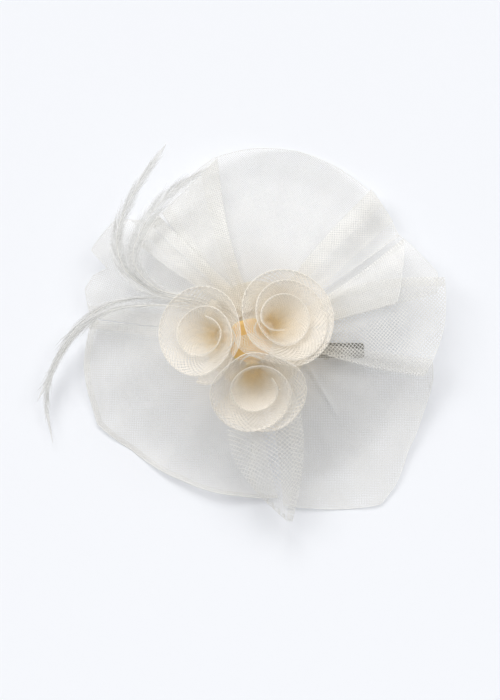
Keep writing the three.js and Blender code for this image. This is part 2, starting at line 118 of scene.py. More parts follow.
# gather: bearings where the first and last ruling start. hem: outer edge as (bearing, radius).
# first, last and rim are folded edges: ((radius at the start, at the end), (width turned over at the
# start, at the end), +1 upwards or -1 under).
NETS = [
    dict(name="net_top", layer=0, gather=(25, 127), bow=(0, 0), look="sheer",
         hem=[(40, 85), (51, 87.5), (64, 89.5), (77, 91), (92, 90), (104, 88), (115, 82), (126, 76),
              (134, 75)]),
    dict(name="net_left_wing", layer=0, gather=(127.6, 183), bow=(0, 0), look="ivory",
         hem=[(134.6, 77), (141, 88), (153, 90), (156, 79), (160, 84), (165, 86), (174, 81)],
         first=((0.4, 0.4), (7, 7), -1), last=((0.4, 0.4), (6, 6), -1)),
    dict(name="net_lower_left", layer=0, gather=(186, 266), bow=(0, -2), look="ivory",
         hem=[(175, 80), (190, 85), (204, 87), (209, 88.5), (222, 82.5), (242, 79), (264, 78),
              (277, 79)],
         first=((0.5, 0.5), (4, 4), -1), rim=((0.4, 0.3), (3, 1.5), -1)),
    dict(name="net_lower_right", layer=0, gather=(270, 352), bow=(2, 0), look="soft",
         hem=[(278.5, 83), (288, 88), (298, 95), (306, 101), (313, 98), (322, 91.5), (334, 88),
              (346, 86.5), (352, 84)]),
    dict(name="net_right_under", layer=0, gather=(2, 22), bow=(0, 0), look="sheer",
         hem=[(13, 88), (19, 91), (26, 87), (36, 83)]),
    dict(name="net_right_wing", layer=1, gather=(-12, 28), bow=(-2, 7.5), look="open",
         hem=[(-12.5, 82), (-6, 85), (2, 88.5), (17, 93)],
         first=((0.3, 1.7), (0.6, 4), 1), last=((0.4, 0.4), (4, 4), -1)),
    dict(name="net_upper_left", layer=1, gather=(102, 142), bow=(3, 0), look="ivory",
         hem=[(103, 87), (109, 82), (118, 77), (128, 74)],
         first=((0.4, 0.4), (4, 11), -1), last=((0.4, 0.4), (3, 5), -1)),
    dict(name="net_upper_right", layer=1, gather=(30, 66), bow=(0, 2), look="ivory",
         hem=[(35, 82.5), (43, 85), (52, 88.5)],
         last=((0.4, 0.4), (4, 9), -1)),
    dict(name="net_right_pleat", layer=2, gather=(2, 28), bow=(0, -2), look="ivory",
         hem=[(13, 67.5), (24, 75), (33, 83)],
         first=((0.5, 0.5), (4, 6), -1), last=((0.3, 0.7), (0.8, 1.6), 1)),
    dict(name="net_left_petal", layer=2, gather=(100, 120), bow=(0, 2), look="ivory",
         hem=[(130, 73), (136, 75), (143, 70)],
         first=((0.4, 0.4), (4, 6), -1), rim=((0.5, 0.5), (3, 3), 1)),
]

# curl is how far the strip's inner end bends into the hollow.
ROSES = [
    dict(name="rose_left", x=-28.6, y=0.6, rim=22.8, turns=2.5, start=260, curl=0.15),
    dict(name="rose_right", x=13.1, y=8.6, rim=24, turns=3.2, start=240, curl=0.5),
    dict(name="rose_front", x=-0.9, y=-27.6, rim=23.6, turns=2.5, start=120, curl=0.1),
]

# vane: the vane's half width as (share of the length, half width). fluff: how far loose barbs stand out.
FEATHERS = [
    dict(name="feather_curved", fluff=0.8,
         vane=[(0.12, 0.6), (0.3, 3.2), (0.5, 4.4), (0.72, 3.9), (0.88, 1.8), (1, 0.1)],
         route=[(-48, 22, 15), (-59, 35, 18), (-55, 50, 19), (-42, 67, 18), (-22, 80, 18)]),
    dict(name="feather_tall", fluff=0.6,
         vane=[(0.12, 0.6), (0.28, 3.6), (0.5, 4.4), (0.64, 3), (0.8, 2.2), (0.95, 1.6), (1, 0.1)],
         route=[(-49, 20, 14.5), (-63, 31, 14.5), (-67, 46, 15), (-60, 65, 18), (-43.5, 90, 20)]),
    dict(name="feather_short", fluff=0.5,
         vane=[(0.12, 0.3), (0.5, 1.8), (0.8, 1.6), (1, 0.1)],
         route=[(-45, 19.5, 11.5), (-61, 29, 9), (-67, 40, 8), (-64, 57, 9)]),
    dict(name="feather_left_long", fluff=1.2,
         vane=[(0.12, 0.3), (0.4, 1.6), (0.55, 2.6), (0.66, 1.4), (0.85, 1.5), (1, 0.1)],
         route=[(-46, 17.5, 13.5), (-71, 14.5, 11), (-86, 4, 5), (-97, -12, -1), (-102, -31, -4),
                (-99, -52, -6)]),
    dict(name="feather_left_short", fluff=1.4,
         vane=[(0.12, 0.3), (0.45, 1.4), (0.6, 2), (0.75, 1.2), (0.9, 1.4), (1, 0.1)],
         route=[(-45, 14, 14), (-70, 11.5, 14.5), (-84, 3, 9), (-95, -11, 5), (-106, -32, 0)]),
]

# Half width of every vane in the cloth coordinates that its look is drawn in.
VANE_UV = 10

# Barbs: clumps for each millimetre of feather, and hairs in each clump.
CLUMPS_PER_MM = 0.45
CLUMP_HAIRS = 5


# ---------- small helpers ----------
def smooth(value):
    """Eases a share from 0 to 1."""
    held = np.clip(value, 0, 1)
    return held * held * (3 - 2 * held)


def mix(a, b, share):
    return a + (b - a) * share


def unit(vectors):
    return vectors / np.maximum(np.linalg.norm(vectors, axis=-1, keepdims=True), 1e-9)


def turned_by(bearing, centre):
    """Signed angle from centre to bearing, in degrees."""
    return np.mod(bearing - centre + 180, 360) - 180


def wander(x, y, size, seed):
    """Smooth irregular values between about -1 and 1 that change over the given size."""
    local = np.random.default_rng(seed)
    total = 0
    for _ in range(5):
        way = local.uniform(0, 2 * math.pi)
        wave = local.uniform(0.7, 1.5) * 2 * math.pi / size
        phase = local.uniform(0, 2 * math.pi)
        total = total + np.sin((x * math.cos(way) + y * math.sin(way)) * wave + phase)
    return total / 3


# ---------- meshes ----------
def keep_on(piece, *nodes, slot):
    """Fixes a piece to the headpiece, in place of the CAD nodes it stands for."""
    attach(piece, BODY)
    if nodes:
        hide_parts(*nodes)


def mesh_piece(name, points, faces, material, uv=None):
    """A smooth piece from points in millimetres; uv has one pair per point."""
    mesh = bpy.data.meshes.new(name)
    mesh.from_pydata((np.asarray(points) * MM).tolist(), [], [tuple(f) for f in faces])
    mesh.materials.append(material)
    mesh.shade_smooth()
    if uv is not None:
        layer = mesh.uv_layers.new(name="cloth")
        corners = np.zeros(len(mesh.loops), np.int32)
        mesh.loops.foreach_get("vertex_index", corners)
        layer.data.foreach_set("uv", (np.asarray(uv)[corners] * MM).astype(np.float32).ravel())
    piece = bpy.data.objects.new(name, mesh)
    bpy.context.scene.collection.objects.link(piece)
    return piece


def grid_faces(columns, rows):
    i, j = np.meshgrid(np.arange(columns - 1), np.arange(rows - 1), indexing="ij")
    a = (i * rows + j).ravel()
    return np.stack([a, a + rows, a + rows + 1, a + 1], axis=1)


def grid_piece(name, grid, flat, material):
    """A sheet from a grid of points, with the cloth's own flat coordinates as its UVs."""
    columns, rows = grid.shape[:2]
    return mesh_piece(name, grid.reshape(-1, 3), grid_faces(columns, rows), material, flat.reshape(-1, 2))


def rings_of(route, radius, sides):
    """Circles of points round a route; radius is a number or one per point."""
    route = np.asarray(route, float)
    ahead = unit(np.gradient(route, axis=0))
    side = np.cross(ahead, (0, 0, 1.0))
    flat = np.linalg.norm(side, axis=1) < 0.05
    side[flat] = np.cross(ahead[flat], (1.0, 0, 0))
    side = unit(side)
    up = np.cross(side, ahead)
    angle = np.linspace(0, 2 * math.pi, sides, endpoint=False)
    width = np.broadcast_to(np.asarray(radius, float), len(route))[:, None, None]
    circle = side[:, None] * np.cos(angle)[:, None] + up[:, None] * np.sin(angle)[:, None]
    return route[:, None] + circle * width


def tube(route, radius, sides=6):
    """Points and faces of a closed tube along a route."""
    rings = rings_of(route, radius, sides)
    count = len(rings)
    points = rings.reshape(-1, 3)
    faces = []
    for i in range(count - 1):
        for k in range(sides):
            a = i * sides + k
            b = i * sides + (k + 1) % sides
            faces.append((a, b, b + sides, a + sides))
    faces.append(tuple(range(sides))[::-1])
    faces.append(tuple((count - 1) * sides + k for k in range(sides)))
    return points, faces


def joined(parts):
    """One list of points and one of faces from several."""
    points = []
    faces = []
    start = 0
    for part_points, part_faces in parts:
        points.append(np.asarray(part_points))
        faces += [tuple(start + index for index in face) for face in part_faces]
        start += len(part_points)
    return np.concatenate(points), faces


def ring_route(radius, height, angle):
    """Points round the z axis, for a radius and a height that may change with the angle."""
    return np.stack(np.broadcast_arrays(radius * np.cos(angle), radius * np.sin(angle), height), axis=-1)


def lathe(profile, segments):
    """Points and faces of a closed body of revolution, from a profile of (radius, height)."""
    profile = np.asarray(profile, float)
    angle = np.linspace(0, 2 * math.pi, segments, endpoint=False)
    points = np.stack([
        profile[:, 0] * np.cos(angle)[:, None],
        profile[:, 0] * np.sin(angle)[:, None],
        np.broadcast_to(profile[:, 1], (segments, len(profile))),
    ], axis=-1)
    faces = []
    rows = len(profile)
    for i in range(segments):
        following = (i + 1) % segments
        for j in range(rows - 1):
            faces.append((i * rows + j, following * rows + j, following * rows + j + 1, i * rows + j + 1))
    return points.reshape(-1, 3), faces


# ---------- materials ----------
def node(tree, kind, inputs=None, **settings):
    """Adds a shader node. An input's value is a constant, or the socket that drives it."""
    made = tree.nodes.new("ShaderNode" + kind)
    for key, value in settings.items():
        setattr(made, key, value)
    for key, value in (inputs or {}).items():
        if isinstance(value, bpy.types.NodeSocket):
            tree.links.new(value, made.inputs[key])
        else:
            made.inputs[key].default_value = value
    return made


def calc(tree, operation, first, second=0.0, third=0.0):
    return node(tree, "Math", {0: first, 1: second, 2: third}, operation=operation).outputs[0]


def remap(tree, value, low, high, to_low, to_high, shape="SMOOTHSTEP"):
    made = node(tree, "MapRange", {0: value, 1: low, 2: high, 3: to_low, 4: to_high})
    made.interpolation_type = shape
    return made.outputs[0]


def noise(tree, place, scale, detail=2.0, roughness=0.5):
    made = node(tree, "TexNoise", {"Vector": place, "Scale": scale, "Detail": detail})
    made.inputs["Roughness"].default_value = roughness
    return made.outputs["Fac"]


def blend_colours(tree, share, first, second):
    made = node(tree, "Mix", data_type="RGBA")
    tree.links.new(share, made.inputs["Factor"])
    made.inputs["A"].default_value = (*first, 1)
    made.inputs["B"].default_value = (*second, 1)
    return made.outputs["Result"]


def shader(name, **constants):
    """A material with one Principled shader, its node tree and that shader's inputs."""
    material = bpy.data.materials.new(name)
    material.use_nodes = True
    tree = material.node_tree
    tree.nodes.clear()
    surface = node(tree, "BsdfPrincipled")
    output = node(tree, "OutputMaterial")
    tree.links.new(surface.outputs[0], output.inputs[0])
    for key, value in constants.items():
        surface.inputs[key.replace("_", " ")].default_value = value
    return material, tree, surface.inputs


def place_of(tree):
    return node(tree, "TexCoord").outputs["Object"]


def weave(tree, pitch, thread):
    """Thread cover, 0 in a hole and 1 on a thread, of a net woven on the bias; sizes in millimetres."""
    cloth = node(tree, "UVMap", uv_map="cloth").outputs[0]
    drift = node(tree, "TexNoise", {"Vector": cloth, "Scale": 90.0, "Detail": 1.0}).outputs["Color"]
    shift = node(tree, "VectorMath", {0: drift, 1: (0.5, 0.5, 0.5)}, operation="SUBTRACT").outputs[0]
    small = node(tree, "VectorMath", {0: shift, "Scale": 0.9 * pitch * MM}, operation="SCALE").outputs[0]
    moved = node(tree, "VectorMath", {0: cloth, 1: small}, operation="ADD").outputs[0]
    per_thread = 1 / (pitch * MM)
    bias = node(tree, "Mapping", {"Vector": moved, "Rotation": (0, 0, math.radians(45)),
                                  "Scale": (per_thread, per_thread, 1)})
    parts = node(tree, "SeparateXYZ", {0: bias.outputs[0]}).outputs
    half = thread / pitch / 2
    covers = []
    for axis in (0, 1):
        away = calc(tree, "PINGPONG", parts[axis], 0.5)
        covers.append(remap(tree, away, half * 1.5, half * 0.5, 0.0, 1.0))
    return calc(tree, "MAXIMUM", covers[0], covers[1])


def net_look(name, pitch, thread, hole, solid, colour, shade, warm, rolled=False):
    """Crinoline net. hole and solid are its opacity between and on the threads.

    warm is a tint with the distances on the cloth, in millimetres, where it is full and where it ends.
    A rolled strip's distance is measured from its rim, and a net's from the middle of the headpiece.
    A rolled strip is also denser along its rim.
    """
    material, tree, inputs = shader(name, Sheen_Weight=0.1, Sheen_Roughness=0.4)
    cover = weave(tree, pitch, thread)
    place = place_of(tree)
    warm_tint, full, ended = warm
    cloth = node(tree, "UVMap", uv_map="cloth").outputs[0]
    if rolled:
        distance = calc(tree, "ABSOLUTE", node(tree, "SeparateXYZ", {0: cloth}).outputs[1])
    else:
        distance = node(tree, "VectorMath", {0: cloth}, operation="LENGTH").outputs["Value"]
    # Warm tint by distance on the cloth. On the roses, deep in the hollows, it is partly the amber of the
    # glue and partly painted glow, kept light to stand in for light shining through the walls.
    tinted = node(tree, "Mix", data_type="RGBA")
    tree.links.new(remap(tree, distance, full * MM, ended * MM, 1.0, 0.0), tinted.inputs["Factor"])
    tree.links.new(blend_colours(tree, noise(tree, place, 45.0), colour, shade), tinted.inputs["A"])
    tinted.inputs["B"].default_value = (*warm_tint, 1)
    tree.links.new(tinted.outputs["Result"], inputs["Base Color"])
    uneven = remap(tree, noise(tree, place, 110.0), 0.3, 0.7, 0.88, 1.12)
    opacity = calc(tree, "MULTIPLY", remap(tree, cover, 0.0, 1.0, hole, solid, "LINEAR"), uneven)
    if rolled:
        rim_band = remap(tree, distance, 0.4 * MM, 2.6 * MM, 0.15, 0.0)
        opacity = calc(tree, "MAXIMUM", opacity, rim_band)
    tree.links.new(opacity, inputs["Alpha"])
    tree.links.new(remap(tree, cover, 0.0, 1.0, 0.62, 0.34, "LINEAR"), inputs["Roughness"])
    relief = node(tree, "Bump", {"Height": cover, "Strength": 0.3, "Distance": 0.2 * MM})
    tree.links.new(relief.outputs[0], inputs["Normal"])
    return material


def edge_look(name, colour, shade):
    """The smooth nylon thread in the edge of a crinoline braid."""
    material, tree, inputs = shader(name, Sheen_Weight=0.1)
    place = place_of(tree)
    tree.links.new(blend_colours(tree, noise(tree, place, 260.0), colour, shade), inputs["Base Color"])
    tree.links.new(remap(tree, noise(tree, place, 500.0), 0.3, 0.7, 0.3, 0.45), inputs["Roughness"])
    return material


def feather_look(name, thin, thick, along):
    """Feather barbs in grey streaks. thin and thick are the opacity between and on them.

    along says that the streaks follow the cloth coordinates of a vane, which also thins at its edges.
    """
    material, tree, inputs = shader(name, Sheen_Weight=0.2, Sheen_Roughness=0.5)
    place = place_of(tree)
    broad = noise(tree, place, 60.0)
    if along:
        cloth = node(tree, "UVMap", uv_map="cloth").outputs[0]
        drawn = node(tree, "Mapping", {"Vector": cloth, "Scale": (110, 1300, 1)}).outputs[0]
        streaks = noise(tree, drawn, 1.0, 3.0)
        aside = calc(tree, "ABSOLUTE", node(tree, "SeparateXYZ", {0: cloth}).outputs[1])
        edge = remap(tree, aside, VANE_UV * 0.35 * MM, VANE_UV * MM, 1.0, 0.1)
        opacity = calc(tree, "MULTIPLY", remap(tree, streaks, 0.32, 0.68, thin, thick), edge)
    else:
        streaks = noise(tree, place, 700.0, 2.0)
        opacity = remap(tree, streaks, 0.3, 0.7, thin, thick)
    tree.links.new(blend_colours(tree, broad, (0.7, 0.7, 0.68), (0.8, 0.8, 0.79)), inputs["Base Color"])
    tree.links.new(remap(tree, streaks, 0.3, 0.7, 0.55, 0.8), inputs["Roughness"])
    tree.links.new(opacity, inputs["Alpha"])
    return material


def quill_look():
    material, tree, inputs = shader("quill", Roughness=0.35)
    tree.links.new(blend_colours(tree, noise(tree, place_of(tree), 120.0), (0.78, 0.76, 0.7),
                                 (0.88, 0.87, 0.83)), inputs["Base Color"])
    return material


def felt_look():
    material, tree, inputs = shader("wool_felt", Sheen_Weight=0.5, Sheen_Roughness=0.6)
    place = place_of(tree)
    fibres = noise(tree, place, 1400.0, 3.0, 0.7)
    mottle = noise(tree, place, 150.0)
    tint = blend_colours(tree, calc(tree, "MULTIPLY_ADD", fibres, 0.6, calc(tree, "MULTIPLY", mottle, 0.4)),
                         (0.66, 0.6, 0.5), (0.86, 0.82, 0.73))
    tree.links.new(tint, inputs["Base Color"])
    tree.links.new(remap(tree, mottle, 0.2, 0.8, 0.88, 1.0), inputs["Roughness"])
    relief = node(tree, "Bump", {"Height": fibres, "Strength": 0.6, "Distance": 0.3 * MM})
    tree.links.new(relief.outputs[0], inputs["Normal"])
    return material


def thread_look():
    material, tree, inputs = shader("sewing_thread", Sheen_Weight=0.15)
    place = place_of(tree)
    twist = node(tree, "TexWave", {"Vector": place, "Scale": 700.0, "Distortion": 1.5}).outputs["Fac"]
    tree.links.new(blend_colours(tree, twist, (0.62, 0.57, 0.48), (0.85, 0.81, 0.72)), inputs["Base Color"])
    tree.links.new(remap(tree, twist, 0.0, 1.0, 0.75, 0.5), inputs["Roughness"])
    relief = node(tree, "Bump", {"Height": twist, "Strength": 0.4, "Distance": 0.1 * MM})
    tree.links.new(relief.outputs[0], inputs["Normal"])
    return material


def glue_look():
    material, tree, inputs = shader("hot_glue", Subsurface_Weight=0.4)
    inputs["Subsurface Radius"].default_value = (1.0, 0.6, 0.25)
    inputs["Subsurface Scale"].default_value = 2 * MM
    place = place_of(tree)
    mottle = noise(tree, place, 160.0, 3.0)
    tree.links.new(blend_colours(tree, mottle, (0.66, 0.42, 0.13), (0.8, 0.56, 0.22)), inputs["Base Color"])
    tree.links.new(remap(tree, noise(tree, place, 420.0), 0.3, 0.7, 0.28, 0.5), inputs["Roughness"])
    return material


def steel_look(name, dark, light, low, high):
    material, tree, inputs = shader(name, Metallic=1.0)
    place = place_of(tree)
    stretched = node(tree, "Mapping", {"Vector": place, "Scale": (90, 2200, 900)}).outputs[0]
    grain = noise(tree, stretched, 1.0, 3.0, 0.6)
    wear = noise(tree, place, 240.0, 3.0)
    tree.links.new(blend_colours(tree, wear, dark, light), inputs["Base Color"])
    tree.links.new(remap(tree, grain, 0.25, 0.75, low, high), inputs["Roughness"])
    relief = node(tree, "Bump", {"Height": grain, "Strength": 0.15, "Distance": 0.05 * MM})
    tree.links.new(relief.outputs[0], inputs["Normal"])
    return material


IVORY = (0.88, 0.87, 0.84)
IVORY_SHADE = (0.83, 0.82, 0.785)
CREAM = (0.93, 0.88, 0.8)
CREAM_SHADE = (0.89, 0.83, 0.73)
EDGE_WHITE = (0.93, 0.93, 0.91)
NET_COLOURS = (IVORY, IVORY_SHADE, ((0.9, 0.86, 0.78), 16, 50))
LOOKS = dict(
    sheer=net_look("net_sheer", 0.8, 0.16, 0.16, 0.75, *NET_COLOURS),
    ivory=net_look("net_ivory", 0.85, 0.2, 0.14, 0.8, *NET_COLOURS),
    soft=net_look("net_soft", 0.8, 0.21, 0.22, 0.68, *NET_COLOURS),
    open=net_look("net_open", 1.3, 0.3, 0.05, 0.88, *NET_COLOURS),
    # The roses' amber tint deep in their hollows is partly glue colour and partly painted glow of light
    # shining through the walls.
    rose=net_look("net_rose", 1.4, 0.23, 0.02, 0.82, CREAM, CREAM_SHADE, ((0.94, 0.78, 0.46), 29, 11),
                  rolled=True),
    leaf=net_look("net_leaf", 1.55, 0.28, 0.0, 0.98, IVORY, IVORY_SHADE, (IVORY, 0, 30)),
)
EDGE = edge_look("edge_thread", EDGE_WHITE, (0.86, 0.86, 0.83))
ROSE_EDGE = edge_look("rose_edge_thread", (0.95, 0.92, 0.86), (0.9, 0.86, 0.78))
FEATHER = feather_look("feather_barbs", 0.5, 0.9, False)
VANE = feather_look("feather_vane", 0.35, 0.9, True)
QUILL = quill_look()
FELT = felt_look()
THREAD = thread_look()
GLUE = glue_look()
STEEL = steel_look("nickel_steel", (0.12, 0.115, 0.105), (0.22, 0.215, 0.19), 0.3, 0.48)
WIRE = steel_look("spring_wire", (0.45, 0.45, 0.44), (0.62, 0.62, 0.6), 0.18, 0.32)


# ---------- nets ----------
def rim_lift(bearing):
    at = np.array([place for place, _ in RIM_LIFT] + [RIM_LIFT[0][0] + 360.0])
    lift = np.array([value for _, value in RIM_LIFT] + [RIM_LIFT[0][1]], float)
    place = np.mod(bearing - at[0], 360) + at[0]
    after = np.clip(np.searchsorted(at, place, side="right"), 1, len(at) - 1)
    share = (place - at[after - 1]) / (at[after] - at[after - 1])
    return mix(lift[after - 1], lift[after], smooth(share))


def fold_lift(x, y):
    """Soft radial folds, and fine crinkles beside the gathers, that every layer shares."""
    reach = np.hypot(x, y)
    bearing = np.degrees(np.arctan2(y, x))
    folds = 0
    for centre, spread, height in RADIAL_FOLDS:
        folds = folds + height * np.exp(-((turned_by(bearing, centre) / spread) ** 2))
    crinkle = np.sin(np.radians(bearing) * 43 + 2 * np.sin(np.radians(bearing) * 7))
    gathers = 0.25 * crinkle * np.exp(-(((reach - 18) / 18) ** 2))
    return folds * smooth((reach - 16) / 50) + gathers + crease_lift(x, y)


def crease_lift(x, y):
    """A sharp pinched crease in the lower right, and the crumpled patch it runs into."""
    (from_x, from_y), (to_x, to_y) = CREASE
    length = math.hypot(to_x - from_x, to_y - from_y)
    ahead = ((x - from_x) * (to_x - from_x) + (y - from_y) * (to_y - from_y)) / length
    aside = ((x - from_x) * (to_y - from_y) - (y - from_y) * (to_x - from_x)) / length
    ends = smooth((ahead + 3) / 5) * (1 - smooth((ahead - length + 6) / 10))
    crease = 1.8 * np.exp(-((aside / 1.1) ** 2)) * ends
    patch = np.exp(-(((ahead - length - 14) / 13) ** 2 + ((aside + 3) / 10) ** 2))
    return crease + 0.3 * patch * wander(x, y, 5, 77) * wander(x, y, 7, 78)


def net_height(x, y, layer):
    reach = np.hypot(x, y)
    rim = TABLE_Z + NET_T / 2 + rim_lift(np.degrees(np.arctan2(y, x)))
    drop = smooth((reach - FELT_R) / (DROOP_R - FELT_R))
    swell = np.sin(math.pi * np.clip((reach - GATHER_R) / (DROOP_R - GATHER_R), 0, 1)) ** 2
    spacing = LAYER_STEP + LAYER_SPREAD * reach
    return NET_Z + NET_SWELL * swell + (rim - NET_Z) * drop + layer * spacing + fold_lift(x, y)


def net_grid(net, columns, rows):
    """A net's points. The first axis runs along its hem, and the second from its gathers to its hem."""
    u, v = np.meshgrid(np.linspace(0, 1, columns), np.linspace(0, 1, rows), indexing="ij")
    places = [place for place, _ in net["hem"]]
    bearing = mix(places[0], places[-1], u)
    reach = np.interp(bearing, places, [radius for _, radius in net["hem"]])
    inner = np.radians(mix(*net["gather"], u))
    outer = np.radians(bearing)
    swing = mix(*net["bow"], u) * np.sin(math.pi * v)
    x = mix(GATHER_R * np.cos(inner), reach * np.cos(outer), v) - swing * np.sin(outer)
    y = mix(GATHER_R * np.sin(inner), reach * np.sin(outer), v) + swing * np.cos(outer)
    return np.stack([x, y, net_height(x, y, net["layer"])], axis=-1)


def flat_of(grid, way):
    """A nearly level sheet's own coordinates: its plan, with the first axis along the bearing given."""
    angle = -math.radians(way)
    x, y = grid[..., 0], grid[..., 1]
    along = x * math.cos(angle) - y * math.sin(angle)
    across = x * math.sin(angle) + y * math.cos(angle)
    return np.stack([along, across], axis=-1)


def turn_over(grid, flat, radius, width, way):
    """Folds cloth over along the grid's first column: a round edge, then a flap back along the sheet."""
    rows = grid.shape[1]
    steps = np.linalg.norm(np.diff(grid, axis=0), axis=-1)
    far = np.concatenate([np.zeros((1, rows)), np.cumsum(steps, axis=0)])
    inward = unit(grid[2] - grid[0])
    along = unit(np.gradient(grid[0], axis=0))
    up = unit(np.cross(inward, along))
    up = up * np.where(up[:, 2:] < 0, -1, 1)
    inward_flat = unit(flat[2] - flat[0])
    radius = np.linspace(*radius, rows)[:, None]
    width = np.linspace(*width, rows)
    added = []
    added_flat = []
    for angle in np.linspace(0, math.pi, 9)[1:]:
        added.append(grid[0] - inward * radius * math.sin(angle) + way * up * radius * (1 - math.cos(angle)))
        added_flat.append(flat[0] - inward_flat * radius * angle)
    for share in np.linspace(0, 1, max(3, int(width.max())))[1:]:
        distance = width * share
        row = np.stack([
            [np.interp(distance[j], far[:, j], grid[:, j, axis]) for axis in range(3)] for j in range(rows)
        ])
        added.append(row + way * up * 2 * radius)
        added_flat.append(flat[0] - inward_flat * (radius * math.pi + distance[:, None]))
    return np.concatenate([added[::-1], grid]), np.concatenate([added_flat[::-1], flat])


def fold_edges(grid, flat, first=None, last=None, rim=None):
    """Turns over the sheet's hem, then its two sides, where a fold is given."""
    if rim:
        grid, flat = (a.swapaxes(0, 1)[::-1] for a in (grid, flat))
        grid, flat = turn_over(grid, flat, *rim)
        grid, flat = (a[::-1].swapaxes(0, 1) for a in (grid, flat))
    if first:
        grid, flat = turn_over(grid, flat, *first)
    if last:
        grid, flat = turn_over(grid[::-1], flat[::-1], *last)
        grid, flat = grid[::-1], flat[::-1]
    return grid, flat


def add_net(net):
    """Makes a net's sheet, and returns the thread in its hem as points and faces."""
    span = net["hem"][-1][0] - net["hem"][0][0]
    columns = max(24, int(span * 1.6))
    grid = net_grid(net, columns, 72)
    flat = flat_of(grid, (net["hem"][0][0] + net["hem"][-1][0]) / 2 + 3 * net["layer"])
    hem = grid[:, -1] + np.array([0, 0, 0.05])
    grid, flat = fold_edges(grid, flat, net.get("first"), net.get("last"), net.get("rim"))
    grid[..., 2] = np.maximum(grid[..., 2], TABLE_Z + 0.1)
    piece = grid_piece(net["name"] + "_cloth", grid, flat, LOOKS[net["look"]])
    keep_on(piece, net["name"], slot="ivory_net")
    return tube(hem, EDGE_THREAD_R, 5)


# ---------- roses ----------
def roll_share(s):
    """The rolled strip's rim radius as a share of the rose's: a small inner roll, then wide ones."""
    share = 0.44 + 0.07 * smooth(s / 0.34)
    return share + 0.36 * smooth((s - 0.32) / 0.26) + 0.13 * smooth((s - 0.56) / 0.4)


def pressed(rose, share, bearing):
    """Holds a rim's share of the radius back from the two neighbouring roses, which press it flat."""
    held = np.exp(-PRESS * share)
    for other in ROSES:
        if other is not rose:
            dx = other["x"] - rose["x"]
            dy = other["y"] - rose["y"]
            toward = math.degrees(math.atan2(dy, dx)) - lean_bearing(rose)
            off = np.radians(np.clip(turned_by(bearing, toward), -80, 80))
            limit = (math.hypot(dx, dy) + PRESS_OVERLAP) / 2 / rose["rim"] / np.cos(off)
            held = held + np.exp(-PRESS * limit)
    return -np.log(held) / PRESS


def lean_bearing(rose):
    return math.degrees(math.atan2(rose["y"] - CLUSTER[1], rose["x"] - CLUSTER[0]))


def rose_grid(rose, seed):
    """A strip folded double along its rim and rolled into a funnel, in the rose's own frame.

    s is the share of the strip from its inner end. Returns the grid, its flat coordinates and its rim.
    """
    columns = int(120 * rose["turns"])
    wall = np.linspace(0, 1, 30)
    s = np.linspace(0, 1, columns)[:, None]
    bearing = rose["start"] - 360 * rose["turns"] * s
    share = roll_share(s) * (1 - rose["curl"] * (1 - smooth(s / 0.08)))
    lumps = 0.6 * wander(s * rose["turns"] * 60, s * 0, 34, seed) / rose["rim"]
    rim = rose["rim"] * pressed(rose, share + lumps, bearing)
    foot = mix(INNER_FOOT_R, ROSE_FOOT_R - 0.3, s)
    # The inner rolls stand a little lower, and the strip's outer end is folded down.
    crest = mix(0.93, 1, smooth((s - 0.3) / 0.3)) * (1 - 0.5 * smooth((s - 0.9) / 0.1))
    crest = crest + 0.025 * wander(s * rose["turns"] * 60, s * 0, 25, seed + 1)

    def side(t, outward):
        """Radius and height of a trumpet, at a share t of the way from foot to rim."""
        radius = mix(foot, rim, t ** mix(1.2, 1.9, smooth(s * 1.6))) + outward
        height = ROSE_H * crest * (t - 0.05 * t**8)
        return radius, height

    layers = []
    for t in wall:
        layers.append(side(t, -STRIP_HALF))
    top_radius, top_height = side(1.0, 0)
    for angle in np.radians([150, 110, 70, 30]):
        bent = STRIP_HALF * math.cos(angle)
        layers.append((top_radius + bent, top_height + STRIP_HALF * math.sin(angle)))
    for t in wall[::-1][:-4]:
        layers.append(side(t, STRIP_HALF))
    radius = np.concatenate([np.broadcast_to(r, (columns, 1)) for r, _ in layers], axis=1)
    height = np.concatenate([np.broadcast_to(h, (columns, 1)) for _, h in layers], axis=1)
    turn = np.radians(bearing)
    grid = ring_route(radius, height, turn)
    edge = ring_route(top_radius + STRIP_HALF, top_height + 0.1, turn)[:, 0]
    down = np.linalg.norm(np.diff(grid, axis=1), axis=-1)
    down = np.concatenate([np.zeros((columns, 1)), np.cumsum(down, axis=1)], axis=1)
    down = down - down[:, [len(wall) + 1]]
    mean_radius = 0.62 * rose["rim"]
    along = s * 2 * math.pi * rose["turns"] * mean_radius
    flat = np.stack([np.broadcast_to(along, down.shape), down], axis=-1)
    return grid, flat, edge


def into_place(rose, points):
    """Points of a rose's own frame, leant out from the middle of the three."""
    dx = rose["x"] - CLUSTER[0]
    dy = rose["y"] - CLUSTER[1]
    lean = math.asin(ROSE_LEAN * math.hypot(dx, dy) / ROSE_H)
    turn = math.radians(lean_bearing(rose))
    x, y, z = (points[..., axis] for axis in range(3))
    out = x * math.cos(lean) + z * math.sin(lean)
    high = z * math.cos(lean) - x * math.sin(lean)
    return np.stack([
        out * math.cos(turn) - y * math.sin(turn) + rose["x"] - ROSE_LEAN * dx,
        out * math.sin(turn) + y * math.cos(turn) + rose["y"] - ROSE_LEAN * dy,
        high + ROSE_Z + 1.5,
    ], axis=-1)


def add_rose(rose, seed):
    """Makes a rose and the thread round its foot, and returns the thread in its rim."""
    grid, flat, edge = rose_grid(rose, seed)
    grid = into_place(rose, grid)
    piece = grid_piece(rose["name"] + "_cloth", grid, flat, LOOKS["rose"])
    keep_on(piece, rose["name"], slot="rose_net")
    turns = 6
    angle = np.linspace(0, 2 * math.pi * turns, 34 * turns)
    rise = np.linspace(0.35, 1.75, len(angle))
    radius = ROSE_FOOT_R + 0.75 + 0.1 * np.sin(angle * 0.73)
    points, faces = tube(into_place(rose, ring_route(radius, rise, angle)), 0.19)
    wrap = mesh_piece(rose["name"] + "_wrap", points, faces, THREAD)
    keep_on(wrap, rose["name"] + "_binding", slot="thread")
    return tube(into_place(rose, edge), ROSE_THREAD_R, 5)


